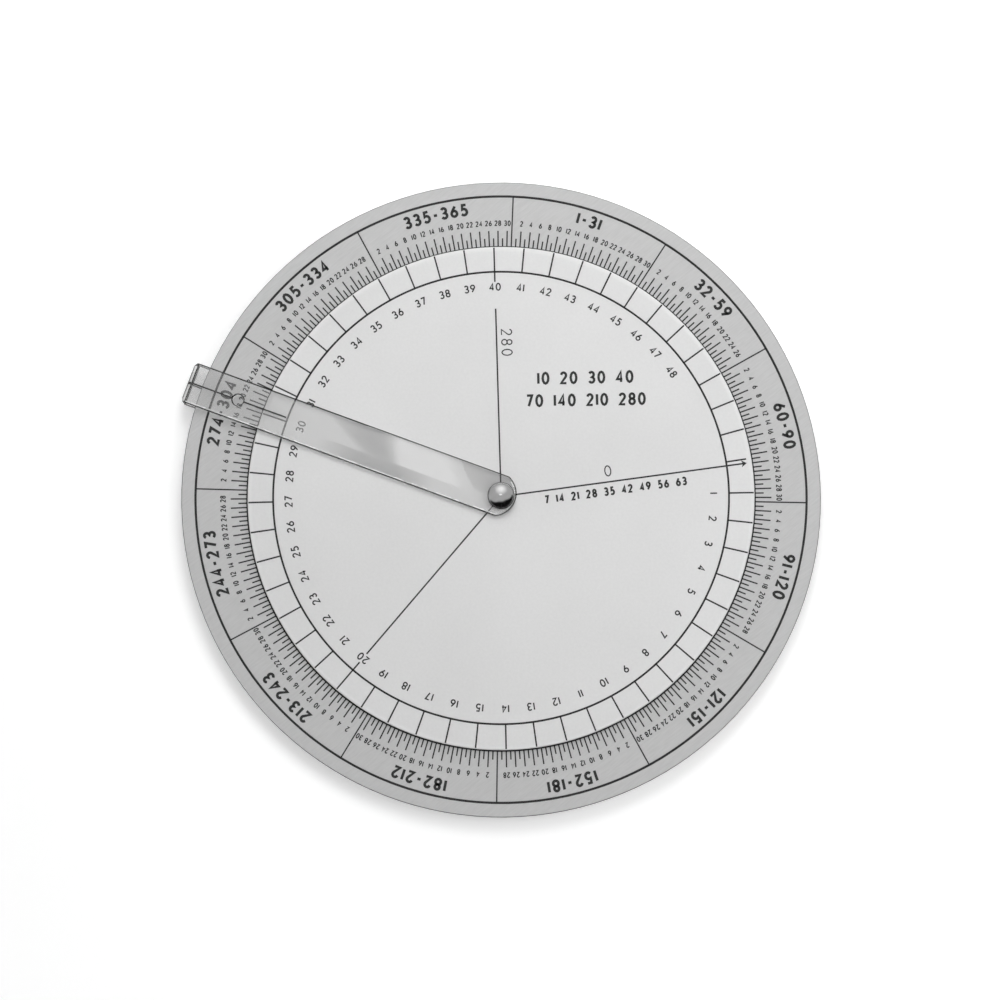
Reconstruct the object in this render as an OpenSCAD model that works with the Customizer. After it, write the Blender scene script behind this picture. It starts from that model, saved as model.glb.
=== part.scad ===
// Due date calculator wheel: two engraved discs and a clear folded cursor on one riveted pivot.
// Millimetres, +Z up. The origin is on the pivot axis, at the flat back of the rivet.

/* [Calendar disc] */
// Diameter of the calendar disc
calendar_d = 150; // [140:1:180]
// Thickness of the calendar disc
calendar_t = 1.2; // [0.8:0.1:2]
// Chamfer round both edges of the calendar disc
calendar_chamfer = 0.15; // [0.05:0.05:0.3]

/* [Year scale] */
// Angle of the turn of the year, anticlockwise from +X
year_angle = 87.7; // [0:0.1:360]
// Distance from the rim to the outer circle of the scale
year_circle_margin = 3.35; // [2:0.05:4.5]
// Width of the outer circle
year_circle_w = 0.55; // [0.3:0.05:0.7]
// Reach of an odd day's tick beyond the week disc
short_tick = 2.2; // [1.5:0.1:2.8]
// Reach of an even day's tick beyond the week disc
long_tick = 4; // [3:0.1:5]
// Width of a day's tick
tick_w = 0.34; // [0.2:0.02:0.4]
// Width of the circle at the foot of the ticks, half hidden under the week disc's edge
foot_circle_w = 0.7; // [0.4:0.05:1]

/* [Week disc] */
// Diameter of the week disc
week_d = 118.8; // [112:0.2:124]
// Thickness of the week disc
week_t = 0.8; // [0.5:0.1:1.5]
// Chamfer round the upper edge of the week disc
week_chamfer = 0.2; // [0.1:0.05:0.3]
// Width of the rolled edge of the week disc
week_roll_w = 1.1; // [0.6:0.1:1.3]
// Drop of the rolled edge where its chamfer starts
week_roll_drop = 0.1; // [0.05:0.01:0.15]

/* [Week scale] */
// Angle of the zero line, anticlockwise from +X
zero_angle = 7.8; // [0:0.1:360]
// Distance from the edge of the week disc to the week circle
week_band_w = 6; // [4:0.1:8]
// Width of the week circle
week_circle_w = 0.46; // [0.3:0.02:0.6]
// Width of the week lines and of the long lines
week_line_w = 0.38; // [0.2:0.02:0.4]
// Distance from the disc's edge to the arrow's tip and to the last line's end
arrow_setback = 1.25; // [0.8:0.05:2]
// Length of the arrow's head
arrow_l = 1.3; // [0.8:0.1:2]
// Width of the arrow's head
arrow_w = 1.7; // [1:0.1:2.4]
// Depth of the notch in the arrow's back
arrow_notch = 0.35; // [0:0.05:0.6]
// Depth of the band of week numbers inside the week circle, which no line crosses
number_band_w = 4.9; // [4:0.1:6]
// Length of the stub inside the week circle at the middle and at term
stub_l = 2.4; // [1:0.1:3]
// Gap between the number band and the end of the term line
term_line_gap = 3.9; // [0:0.1:6]

/* [Engraving] */
// Depth of every engraved line
engrave_depth = 0.12; // [0.05:0.01:0.2]

/* [Cursor] */
// Angle of the cursor, anticlockwise from +X
cursor_angle = 159.8; // [0:0.1:360]
// Width of the strip
cursor_w = 10; // [8:0.5:14]
// Thickness of the strip
cursor_t = 0.8; // [0.5:0.1:1.2]
// Chamfer along the outer edges of the strip
cursor_chamfer = 0.35; // [0.1:0.05:0.4]
// Free space between the rim and the inside of the fold
rim_clearance = 2.6; // [2:0.1:5]
// Inside radius of the two bends that make the fold
fold_bend_r = 0.3; // [0.2:0.1:0.8]
// Radius of the strip's two corners at the fold
fold_corner_r = 1; // [0.4:0.1:2]
// Wall of the strip behind the pivot hole
heel_wall = 1.5; // [0.8:0.05:3]
// Amount by which the round heel's radius exceeds half the strip's width
heel_flare = 0.4; // [0.1:0.1:2]
// Width of the hairline groove
hairline_w = 0.38; // [0.2:0.02:0.6]
// Gap between the week circle and the inner end of the hairline
hairline_gap = 0.3; // [0:0.1:2]
// Diameter of the sight hole
sight_d = 2.35; // [1.5:0.05:3]
// Countersink of the sight hole
sight_chamfer = 0.3; // [0.1:0.05:0.4]
// Distance from the long ticks' ends to the middle of the sight hole
sight_gap = 2.4; // [1.8:0.1:4]

/* [Rivet] */
// Diameter of the post that everything turns on
post_d = 4; // [3:0.1:5]
// Diameter of the post's flat head
head_d = 8; // [7:0.1:12]
// Thickness of the post's flat head
head_t = 0.7; // [0.4:0.05:1.5]
// Chamfer round the post's head
head_chamfer = 0.15; // [0.05:0.05:0.3]
// Diameter of the dome
dome_d = 6.3; // [5.4:0.1:9]
// Height of the dome's straight edge
dome_edge = 0.8; // [0.4:0.1:1.5]
// Rise of the dome above its straight edge
dome_rise = 1.35; // [0.8:0.05:2.5]
// Diameter of the dome's pin
pin_d = 2.4; // [1.6:0.1:2.6]
// Length of the dome's pin
pin_l = 3.2; // [2:0.1:4]
// Room left under the end of the pin
pin_room = 0.3; // [0.1:0.05:0.6]

/* [Washers] */
// Thickness of the three slip washers
slip_t = 0.25; // [0.15:0.05:0.5]
// Diameter of the washer between the discs
dial_washer_d = 24; // [10:1:60]
// Diameter of the washer under the cursor's upper leaf
cursor_washer_d = 6; // [5.4:0.1:7]
// Diameter of the washer over the cursor's lower leaf
back_washer_d = 9; // [6:0.5:16]
// Diameter of the bowed spring washer
spring_d = 6.8; // [6:0.1:7]
// Thickness of the spring washer's strip
spring_t = 0.2; // [0.1:0.02:0.3]
// Bow of the spring washer
spring_bow = 0.25; // [0.1:0.05:0.5]

/* [Fits] */
// Radial clearance of the discs and the cursor on the post
pivot_clearance = 0.05; // [0.02:0.01:0.1]
// Radial clearance of the washers on the post
washer_clearance = 0.1; // [0.05:0.01:0.2]
// Radial clearance of the dome's pin in the post
pin_clearance = 0.02; // [0.01:0.01:0.05]
// End play between the cursor and the dome
end_play = 0.05; // [0.02:0.01:0.1]

/* [Hidden] */
$fn = 96;
cut_over = 0.5;
days_in_month = [31, 28, 31, 30, 31, 30, 31, 31, 30, 31, 30, 31];
days_in_year = 365;
days_in_week = 7;
last_week = 52;
middle_week = 20;
term_week = 40;

// Heights of the stack on the post, from the back to the front
spring_z = head_t;
lower_leaf_z = spring_z + spring_bow + spring_t;
back_washer_z = lower_leaf_z + cursor_t;
calendar_z = back_washer_z + slip_t;
dial_washer_z = calendar_z + calendar_t;
week_z = dial_washer_z + slip_t;
cursor_washer_z = week_z + week_t;
upper_leaf_z = cursor_washer_z + slip_t;
shoulder_z = upper_leaf_z + cursor_t + end_play;

// Radii of the scales
calendar_r = calendar_d / 2;
week_r = week_d / 2;
year_circle_r = calendar_r - year_circle_margin;
long_tick_r = week_r + long_tick;
week_circle_r = week_r - week_band_w;
arrow_r = week_r - arrow_setback;
number_band_r = week_circle_r - number_band_w;

// The fold of the cursor
leaf_gap = upper_leaf_z - back_washer_z;
fold_z = back_washer_z + leaf_gap / 2;
fold_x = calendar_r + rim_clearance - fold_bend_r;
tip_x = fold_x + fold_bend_r + cursor_t;
heel_r = cursor_w / 2 + heel_flare;
heel_x = heel_r - post_d / 2 - pivot_clearance - heel_wall;
sight_x = long_tick_r + sight_gap;
hairline_x = week_circle_r + hairline_gap;

spring_r = (pow(spring_d / 2, 2) + pow(spring_bow, 2)) / (2 * spring_bow);
dome_r = (pow(dome_d / 2, 2) + pow(dome_rise, 2)) / (2 * dome_rise);

// Days of the year before a month starts
function days_before(month) = month == 0 ? 0 : days_before(month - 1) + days_in_month[month - 1];
// Angle of a day of the year, clockwise from the turn of the year
function day_angle(day) = year_angle - 360 * day / days_in_year;
// Angle of a week's line, clockwise from the zero line
function week_angle(week) = zero_angle - 360 * week * days_in_week / days_in_year;

// A line along a radius, flat
module radial_line(angle, from_r, to_r, width) {
    rotate(angle)
        translate([from_r, -width / 2])
            square([to_r - from_r, width]);
}

// A circle drawn with a width, flat
module drawn_circle(r, width) {
    difference() {
        circle(r + width / 2);
        circle(r - width / 2);
    }
}

// Flat shapes cut into a face at height z
module engrave(z) {
    translate([0, 0, z - engrave_depth])
        linear_extrude(engrave_depth + cut_over)
            children();
}

// A disc turned from the points of its edge, from the lower face to the upper one, with the pivot hole
module bored_disc(t, edge) {
    hole_r = post_d / 2 + pivot_clearance;
    rotate_extrude()
        polygon(concat([[hole_r, 0]], edge, [[hole_r, t]]));
}

// A tick for each day, longer on even days, a line across the scale at the end of each month, and the
// circles at the foot and at the top of the scale
module year_scale() {
    drawn_circle(year_circle_r, year_circle_w);
    drawn_circle(week_r, foot_circle_w);
    for (month = [0 : len(days_in_month) - 1]) {
        last_day = days_in_month[month];
        for (day = [1 : last_day]) {
            reach = day == last_day ? year_circle_r
                  : day % 2 == 0 ? long_tick_r
                  : week_r + short_tick;
            radial_line(day_angle(days_before(month) + day), week_r, reach, tick_w);
        }
    }
}

// A line for each week, an arrow at zero and long lines to zero, the middle and term
module week_scale() {
    drawn_circle(week_circle_r, week_circle_w);
    for (week = [1 : last_week - 1]) {
        marked = week == middle_week || week == term_week;
        radial_line(week_angle(week), week_circle_r - (marked ? stub_l : 0), week_r + cut_over, week_line_w);
    }
    radial_line(week_angle(last_week), week_circle_r, arrow_r, week_line_w);
    radial_line(week_angle(0), 0, arrow_r - arrow_l / 2, week_line_w);
    radial_line(week_angle(middle_week), 0, number_band_r, week_line_w);
    radial_line(week_angle(term_week), 0, number_band_r - term_line_gap, week_line_w);
    rotate(zero_angle)
        translate([arrow_r, 0])
            polygon([[0, 0], [-arrow_l, arrow_w / 2], [arrow_notch - arrow_l, 0], [-arrow_l, -arrow_w / 2]]);
}

// An even-sided flat shape, with x across the strip and y through it from its inner face, swept along
// the upper leaf, down the fold between its two bends and back along the lower leaf. It starts and ends
// at from_x.
module folded_sweep(from_x) {
    leaf_l = fold_x - from_x;
    wall_h = leaf_gap - 2 * fold_bend_r;
    translate([0, 0, fold_z])
        for (side = [0, 1])
            mirror([0, 0, side]) {
                translate([from_x, 0, leaf_gap / 2])
                    rotate([90, 0, 90])
                        linear_extrude(leaf_l)
                            children();
                translate([fold_x, 0, wall_h / 2])
                    rotate([90, 0, 0])
                        rotate_extrude(angle = 90)
                            translate([fold_bend_r, 0])
                                rotate(-90)
                                    children();
            }
    translate([fold_x + fold_bend_r, 0, fold_z - wall_h / 2])
        linear_extrude(wall_h)
            rotate(-90)
                children();
}

// Section of the strip, with its outer edges chamfered
module strip_section() {
    half_w = cursor_w / 2;
    polygon([
        [-half_w, 0],
        [half_w, 0],
        [half_w, cursor_t - cursor_chamfer],
        [half_w - cursor_chamfer, cursor_t],
        [cursor_chamfer - half_w, cursor_t],
        [-half_w, cursor_t - cursor_chamfer]
    ]);
}

// The round heels of both leaves, with their outer edges chamfered
module heel_trim() {
    height = upper_leaf_z + cursor_t - lower_leaf_z;
    inner_r = heel_r - cursor_chamfer;
    translate([heel_x, 0, lower_leaf_z])
        rotate_extrude()
            polygon([
                [0, 0],
                [inner_r, 0],
                [heel_r, cursor_chamfer],
                [heel_r, height - cursor_chamfer],
                [inner_r, height],
                [0, height]
            ]);
}

// The sight hole through the upper leaf, countersunk from above
module sight_hole() {
    sight_r = sight_d / 2;
    top_z = upper_leaf_z + cursor_t;
    translate([sight_x, 0, 0])
        rotate_extrude()
            polygon([
                [0, upper_leaf_z - cut_over],
                [sight_r, upper_leaf_z - cut_over],
                [sight_r, top_z - sight_chamfer],
                [sight_r + sight_chamfer + cut_over, top_z + cut_over],
                [0, top_z + cut_over]
            ]);
}

// Outline of the cursor from above, from its heel to two rounded corners at the fold
module cursor_outline() {
    half_w = cursor_w / 2;
    corner_x = tip_x - fold_corner_r;
    translate([heel_x, -heel_r])
        square([corner_x - heel_x, 2 * heel_r]);
    translate([corner_x, fold_corner_r - half_w])
        square([fold_corner_r, cursor_w - 2 * fold_corner_r]);
    for (side = [-1, 1])
        translate([corner_x, side * (half_w - fold_corner_r)])
            circle(fold_corner_r);
}

module calendar_disc() {
    flat_r = calendar_r - calendar_chamfer;
    color([0.76, 0.76, 0.75])
        difference() {
            translate([0, 0, calendar_z])
                bored_disc(calendar_t, [
                    [flat_r, 0],
                    [calendar_r, calendar_chamfer],
                    [calendar_r, calendar_t - calendar_chamfer],
                    [flat_r, calendar_t]
                ]);
            engrave(dial_washer_z)
                year_scale();
        }
}

module week_disc() {
    roll_z = week_t - week_roll_drop;
    color([0.90, 0.90, 0.88])
        difference() {
            translate([0, 0, week_z])
                bored_disc(week_t, [
                    [week_r, 0],
                    [week_r, roll_z - week_chamfer],
                    [week_r - week_chamfer, roll_z],
                    [week_r - week_roll_w, week_t]
                ]);
            engrave(cursor_washer_z)
                week_scale();
        }
}

module cursor() {
    color([0.85, 0.88, 0.88, 0.5])
        rotate(cursor_angle)
            difference() {
                intersection() {
                    folded_sweep(heel_x - heel_r)
                        strip_section();
                    union() {
                        heel_trim();
                        linear_extrude(shoulder_z)
                            cursor_outline();
                    }
                }
                folded_sweep(hairline_x)
                    translate([-hairline_w / 2, cursor_t - engrave_depth])
                        square([hairline_w, engrave_depth + cut_over]);
                sight_hole();
                cylinder(h = shoulder_z, r = post_d / 2 + pivot_clearance);
            }
}

module pivot_post() {
    bore_depth = pin_l + pin_room;
    head_r = head_d / 2;
    color([0.70, 0.70, 0.70])
        difference() {
            union() {
                rotate_extrude()
                    polygon([
                        [0, 0],
                        [head_r - head_chamfer, 0],
                        [head_r, head_chamfer],
                        [head_r, head_t],
                        [0, head_t]
                    ]);
                cylinder(h = shoulder_z, d = post_d);
            }
            translate([0, 0, shoulder_z - bore_depth])
                cylinder(h = bore_depth + cut_over, r = pin_d / 2 + pin_clearance);
        }
}

module dome_rivet() {
    color([0.82, 0.82, 0.84])
        translate([0, 0, shoulder_z]) {
            cylinder(h = dome_edge, d = dome_d);
            intersection() {
                translate([0, 0, dome_edge + dome_rise - dome_r])
                    sphere(dome_r);
                translate([0, 0, dome_edge])
                    cylinder(h = dome_rise, d = dome_d);
            }
            translate([0, 0, -pin_l])
                cylinder(h = pin_l, d = pin_d);
        }
}

// A flat washer on the post
module slip_washer(d, z) {
    translate([0, 0, z])
        difference() {
            cylinder(h = slip_t, d = d);
            translate([0, 0, -cut_over])
                cylinder(h = slip_t + 2 * cut_over, r = post_d / 2 + washer_clearance);
        }
}

module cursor_slip_washer() {
    color([0.93, 0.93, 0.90])
        slip_washer(cursor_washer_d, cursor_washer_z);
}

module dial_slip_washer() {
    color([0.93, 0.93, 0.90])
        slip_washer(dial_washer_d, dial_washer_z);
}

module back_slip_washer() {
    color([0.93, 0.93, 0.90])
        slip_washer(back_washer_d, back_washer_z);
}

// A ring cut from a bowed sheet: its two sides stand on the head and its crown bears on the leaf
module tension_washer() {
    height = spring_bow + spring_t;
    color([0.62, 0.60, 0.56])
        intersection() {
            translate([0, spring_d / 2, spring_z + spring_bow - spring_r])
                rotate([90, 0, 0])
                    difference() {
                        cylinder(h = spring_d, r = spring_r + spring_t);
                        cylinder(h = spring_d, r = spring_r);
                    }
            translate([0, 0, spring_z])
                difference() {
                    cylinder(h = height, d = spring_d);
                    cylinder(h = height, r = post_d / 2 + washer_clearance);
                }
        }
}

calendar_disc();
week_disc();
cursor();
pivot_post();
dome_rivet();
cursor_slip_washer();
dial_slip_washer();
back_slip_washer();
tension_washer();
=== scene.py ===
"""Looks of the due date calculator wheel.

Two engraved discs and a clear folded cursor turn on a domed rivet.
"""

import math

import bmesh
import bpy
from mathutils import Matrix, Vector


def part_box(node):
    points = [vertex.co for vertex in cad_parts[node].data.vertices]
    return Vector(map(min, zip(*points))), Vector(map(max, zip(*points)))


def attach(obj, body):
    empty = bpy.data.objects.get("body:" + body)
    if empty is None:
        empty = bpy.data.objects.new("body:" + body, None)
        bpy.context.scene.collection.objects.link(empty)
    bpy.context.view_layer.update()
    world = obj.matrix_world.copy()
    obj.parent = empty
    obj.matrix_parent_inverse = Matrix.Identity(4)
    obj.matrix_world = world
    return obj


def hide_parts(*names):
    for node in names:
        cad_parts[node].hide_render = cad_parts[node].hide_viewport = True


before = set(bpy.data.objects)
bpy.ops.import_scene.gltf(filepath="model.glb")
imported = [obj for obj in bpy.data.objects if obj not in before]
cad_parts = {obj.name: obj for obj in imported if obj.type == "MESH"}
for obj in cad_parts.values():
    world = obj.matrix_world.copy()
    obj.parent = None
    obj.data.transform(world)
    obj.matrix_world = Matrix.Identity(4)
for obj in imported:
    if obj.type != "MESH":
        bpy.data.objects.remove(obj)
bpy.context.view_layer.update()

MM = 0.001
ORIGIN = Vector((0, 0, 0))

# Rules of the two scales
DAYS_IN_MONTH = [31, 28, 31, 30, 31, 30, 31, 31, 30, 31, 30, 31]
DAYS_IN_YEAR = 365
DAYS_IN_WEEK = 7
DAY_TURN = 360 / DAYS_IN_YEAR
LAST_WEEK = 52
LAST_NUMBERED_WEEK = 48
LAST_COUNTED_WEEK = 9
MIDDLE_WEEK = 20
TERM_WEEK = 40
QUARTER_WEEKS = TERM_WEEK // 4
YEAR_ANGLE = 87.7
ZERO_ANGLE = 7.8
CURSOR_ANGLE = 159.8

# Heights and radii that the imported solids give
CALENDAR_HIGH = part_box("calendar_disc")[1]
WEEK_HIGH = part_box("week_disc")[1]
CURSOR_LOW, CURSOR_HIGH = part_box("cursor")
POST_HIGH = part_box("pivot_post")[1]
DOME_LOW, DOME_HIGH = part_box("dome_rivet")
CALENDAR_R = CALENDAR_HIGH.x
CALENDAR_TOP = CALENDAR_HIGH.z
WEEK_R = WEEK_HIGH.x
WEEK_TOP = WEEK_HIGH.z
SHOULDER_Z = POST_HIGH.z
DOME_R = DOME_HIGH.x

# Engraved lines
ENGRAVE_DEPTH = 0.12 * MM
INK_SINK = 0.02 * MM
INK_DEPTH = ENGRAVE_DEPTH - 2 * INK_SINK
INK_SIDE_ROOM = 0.01 * MM
YEAR_CIRCLE_R = CALENDAR_R - 3.35 * MM
YEAR_CIRCLE_W = 0.55 * MM
FOOT_CIRCLE_W = 0.7 * MM
CIRCLE_SIDES = 240
SHORT_TICK_R = WEEK_R + 2.2 * MM
LONG_TICK_R = WEEK_R + 4.0 * MM
TICK_W = 0.34 * MM
WEEK_ROLL_R = WEEK_R - 1.1 * MM
WEEK_ROLL_DROP = 0.1 * MM
WEEK_CHAMFER = 0.2 * MM
WEEK_CIRCLE_R = WEEK_R - 6.0 * MM
WEEK_CIRCLE_W = 0.46 * MM
WEEK_LINE_W = 0.38 * MM
ARROW_R = WEEK_R - 1.25 * MM
ARROW_L = 1.3 * MM
ARROW_W = 1.7 * MM
ARROW_NOTCH = 0.35 * MM
STUB_L = 2.4 * MM
MIDDLE_LINE_R = WEEK_CIRCLE_R - 4.9 * MM
TERM_LINE_R = MIDDLE_LINE_R - 3.9 * MM
PIVOT_CLEAR_R = 2.1 * MM

# Places of the numbers
DAY_NUMBER_R = WEEK_R + 5.82 * MM
MONTH_NUMBER_R = CALENDAR_R - 6.1 * MM
WEEK_NUMBER_R = WEEK_CIRCLE_R - 3.6 * MM
TABLE_TURN = 1.2
TABLE_CENTRE = (19.8 * MM, 28.2 * MM)
TABLE_STEP = 5.3 * MM
ZERO_LABEL_R = 25.6 * MM
ZERO_LABEL_RISE = 2.6 * MM
COUNT_LABEL_R = 26.8 * MM
COUNT_LABEL_RISE = -2.2 * MM
TERM_LABEL_R = 36.5 * MM
TERM_LABEL_RISE = -2.4 * MM
INK_BODY = 0.03 * MM

# The cursor
CURSOR_W = 10.0 * MM
CURSOR_T = 0.8 * MM
CURSOR_CHAMFER = 0.35 * MM
LOW_CHAMFER_W = 0.09 * MM
MID_CHAMFER_W = 0.24 * MM
CURSOR_BEVEL_W = 0.3 * MM
HEEL_R = 5.4 * MM
HEEL_REACH = 3.55 * MM
PIVOT_HOLE_R = 2.05 * MM
RIM_CLEARANCE = 2.6 * MM
FOLD_BEND_R = 0.3 * MM
FOLD_CORNER_R = 1.0 * MM
SIGHT_R = LONG_TICK_R + 2.4 * MM
SIGHT_HOLE_R = 1.175 * MM
HAIRLINE_START_R = WEEK_CIRCLE_R + 0.3 * MM
HAIRLINE_W = 0.38 * MM
HAIRLINE_PROUD = 0.01 * MM
LEAF_GAP = CURSOR_HIGH.z - CURSOR_LOW.z - 2 * CURSOR_T
FOLD_Z = (CURSOR_LOW.z + CURSOR_HIGH.z) / 2
FOLD_X = CALENDAR_R + RIM_CLEARANCE - FOLD_BEND_R
TIP_X = FOLD_X + FOLD_BEND_R + CURSOR_T

# The rivet
PIN_R = 1.2 * MM
DOME_EDGE = 0.8 * MM
DOME_EDGE_ROUND = 0.12 * MM
DOME_EDGE_TURNS = (0, 30, 60, 90)
DOME_CAP_STEPS = 24
DOME_SIDES = 96
DOME_SHARP_TURN = 25

# The view
CAMERA_DISTANCE = 1.0
CAMERA_TILT = 7.0
FRAME_PX = 1000
PX_PER_MM = 4.265
CAMERA_SHIFT = (-0.25 * MM, -0.70 * MM)
SENSOR_MM = 36.0


def day_angle(day):
    """Angle of a day of the year in degrees, clockwise from the turn of the year."""
    return YEAR_ANGLE - day * DAY_TURN


def week_angle(week):
    """Angle of a week's line in degrees, clockwise from the zero line."""
    return ZERO_ANGLE - week * DAYS_IN_WEEK * DAY_TURN


def days_before(month):
    return sum(DAYS_IN_MONTH[:month])


def on_circle(radius, angle, height=0.0):
    """A point at a radius and an angle in degrees about the pivot."""
    turn = math.radians(angle)
    return Vector((radius * math.cos(turn), radius * math.sin(turn), height))


# Nodes

def wire(tree, node, inputs):
    """Sets a node's sockets, each to a value or to what another node gives out."""
    for socket, value in inputs.items():
        if isinstance(value, bpy.types.NodeSocket):
            tree.links.new(value, node.inputs[socket])
        else:
            node.inputs[socket].default_value = value


def add_node(tree, kind, inputs=None, **settings):
    """A new node of a tree, with its settings made and its sockets wired."""
    node = tree.nodes.new(kind)
    for name, value in settings.items():
        setattr(node, name, value)
    wire(tree, node, inputs or {})
    return node


def calculate(tree, operation, a, b):
    return add_node(tree, "ShaderNodeMath", {0: a, 1: b}, operation=operation).outputs[0]


def length(tree, vector):
    node = add_node(tree, "ShaderNodeVectorMath", {0: vector}, operation="LENGTH")
    return node.outputs["Value"]


def flattened(tree, vector):
    """A vector without its height."""
    node = add_node(tree, "ShaderNodeVectorMath", {0: vector, 1: (1, 1, 0)}, operation="MULTIPLY")
    return node.outputs["Vector"]


def smooth_step(tree, value, start, end, low=0.0, high=1.0):
    """Goes smoothly from low to high while a value goes from start to end."""
    sockets = {"Value": value, "From Min": start, "From Max": end, "To Min": low, "To Max": high}
    node = add_node(tree, "ShaderNodeMapRange", sockets, interpolation_type="SMOOTHSTEP")
    return node.outputs["Result"]


def coordinates(tree, kind="Object"):
    return add_node(tree, "ShaderNodeTexCoord").outputs[kind]


# Materials

CLARITY_AND_PAINTED_SHADE = "clarity_and_painted_shade"
COVER = "cover"
CLEAR_BODY = 0.82
# Painted shade: the near-black tint of the dark lines along the cursor's chamfers and fold
PAINTED_SHADE_EDGE = 0.001
PLASTIC_IOR = 1.49
NOISE_ROUGHNESS = 0.55
RAMP_STOPS = (0.3, 0.7)
BUMP_DEPTH = 0.01 * MM
# Painted shade: a dark line round the calendar disc's rim
CALENDAR_PAINTED_SHADE_BAND = (CALENDAR_R - 0.22 * MM, CALENDAR_R - 0.1 * MM)
# Painted highlight: a lighter band on the week dial's rolled edge
DIAL_PAINTED_HIGHLIGHT_BAND = (WEEK_ROLL_R - 0.3 * MM, WEEK_R - WEEK_CHAMFER)
# Painted shade: a dark ring round the foot of the dome
DOME_PAINTED_SHADE_BAND = (DOME_R - 0.2 * MM, DOME_R - 0.08 * MM)


def new_material(name):
    """A material with a Principled shader. Returns it with its node tree."""
    material = bpy.data.materials.new(name)
    material.use_nodes = True
    return material, material.node_tree


def bare_material(name):
    """A material with no node yet. Returns it with its node tree."""
    material, tree = new_material(name)
    tree.nodes.clear()
    return material, tree


def finish(tree, inputs):
    """Wires the Principled shader of a material."""
    wire(tree, tree.nodes["Principled BSDF"], inputs)


def grey(value):
    return (value, value, value)


def object_noise(tree, scale, detail=3, stretch=(1, 1, 1), turn=0.0):
    """Noise on Object coordinates, stretched and turned about Z. Returns its Fac output."""
    turned = (0, 0, math.radians(turn))
    sockets = {"Vector": coordinates(tree), "Rotation": turned, "Scale": stretch}
    mapping = add_node(tree, "ShaderNodeMapping", sockets, vector_type="TEXTURE")
    noise = add_node(tree, "ShaderNodeTexNoise", {
        "Vector": mapping.outputs["Vector"], "Scale": scale, "Detail": detail,
        "Roughness": NOISE_ROUGHNESS})
    return noise.outputs["Fac"]


def ramp(tree, fac, low, high):
    """A ramp between two colours. Returns its Color output."""
    node = add_node(tree, "ShaderNodeValToRGB", {"Fac": fac})
    for stop, position, colour in zip(node.color_ramp.elements, RAMP_STOPS, (low, high)):
        stop.position = position
        stop.color = (*colour, 1)
    return node.outputs["Color"]


def spread(tree, fac, low, high):
    """Maps a value of 0 to 1 to a range."""
    node = add_node(tree, "ShaderNodeMapRange", {"Value": fac, "To Min": low, "To Max": high})
    return node.outputs["Result"]


def mixed(tree, fac, first, second, blend_type="MIX"):
    sockets = {"Fac": fac, "Color1": first, "Color2": second}
    return add_node(tree, "ShaderNodeMixRGB", sockets, blend_type=blend_type).outputs["Color"]


def edged(tree, colour, painted_grey, band):
    """A colour that turns to a painted grey across a band of distances from the pivot axis, for
    painted shade and painted highlights along edges.
    """
    share = smooth_step(tree, length(tree, flattened(tree, coordinates(tree))), *band)
    return mixed(tree, share, colour, (*grey(painted_grey), 1))


def bump(tree, height, strength):
    """Shallow relief. Returns its Normal output."""
    sockets = {"Height": height, "Strength": strength, "Distance": BUMP_DEPTH}
    return add_node(tree, "ShaderNodeBump", sockets).outputs["Normal"]


def calendar_aluminium():
    """Brushed aluminium with a satin finish and fine slanting grain, and painted shade as a dark
    line round the rim.
    """
    material, tree = new_material("calendar_aluminium")
    grain = object_noise(tree, 2600, stretch=(9.0, 1.0, 1.0), turn=38)
    cloud = object_noise(tree, 45, detail=2)
    face = ramp(tree, grain, grey(0.57), grey(0.62))
    # The dark band at the rim is painted shade
    finish(tree, {"Base Color": edged(tree, face, 0.14, CALENDAR_PAINTED_SHADE_BAND), "Metallic": 0.3,
                  "Roughness": spread(tree, cloud, 0.38, 0.46), "Normal": bump(tree, grain, 0.1)})
    return material


def dial_enamel():
    """Satin off-white enamel with a faint fleck, and a painted highlight on its rolled edge."""
    material, tree = new_material("dial_enamel")
    fleck = object_noise(tree, 1600, detail=2)
    cloud = object_noise(tree, 28)
    # The lighter band at the rolled edge is a painted highlight
    face = edged(tree, ramp(tree, cloud, grey(0.70), grey(0.74)), 0.78, DIAL_PAINTED_HIGHLIGHT_BAND)
    flecked = mixed(tree, 0.5, face, ramp(tree, fleck, grey(0.93), grey(1.0)), "MULTIPLY")
    finish(tree, {"Base Color": flecked, "Roughness": spread(tree, fleck, 0.36, 0.46),
                  "Coat Weight": 0.25, "Coat Roughness": 0.22, "Normal": bump(tree, fleck, 0.08)})
    return material


def scale_ink():
    """Matt black filler in the engraved lines and numbers."""
    material, tree = new_material("scale_ink")
    pores = object_noise(tree, 2500, detail=2)
    finish(tree, {"Base Color": ramp(tree, pores, grey(0.018), grey(0.03)),
                  "Roughness": spread(tree, pores, 0.5, 0.65), "Normal": bump(tree, pores, 0.15)})
    return material


def clear_plastic():
    """Clear cast plastic, a little hazed with handling, tinted face by face: the clear body, and
    painted shade as dark lines along the chamfers and round the fold.
    """
    material, tree = new_material("clear_plastic")
    haze = object_noise(tree, 120, detail=4, stretch=(4.0, 1.0, 1.0), turn=CURSOR_ANGLE)
    clarity_and_painted_shade = add_node(tree, "ShaderNodeAttribute", attribute_name=CLARITY_AND_PAINTED_SHADE).outputs["Color"]
    colour = mixed(tree, 1.0, clarity_and_painted_shade, ramp(tree, haze, grey(0.97), grey(1.0)), "MULTIPLY")
    finish(tree, {"Base Color": colour, "Roughness": spread(tree, haze, 0.004, 0.014),
                  "IOR": PLASTIC_IOR, "Transmission Weight": 0.98})
    return material


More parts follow.
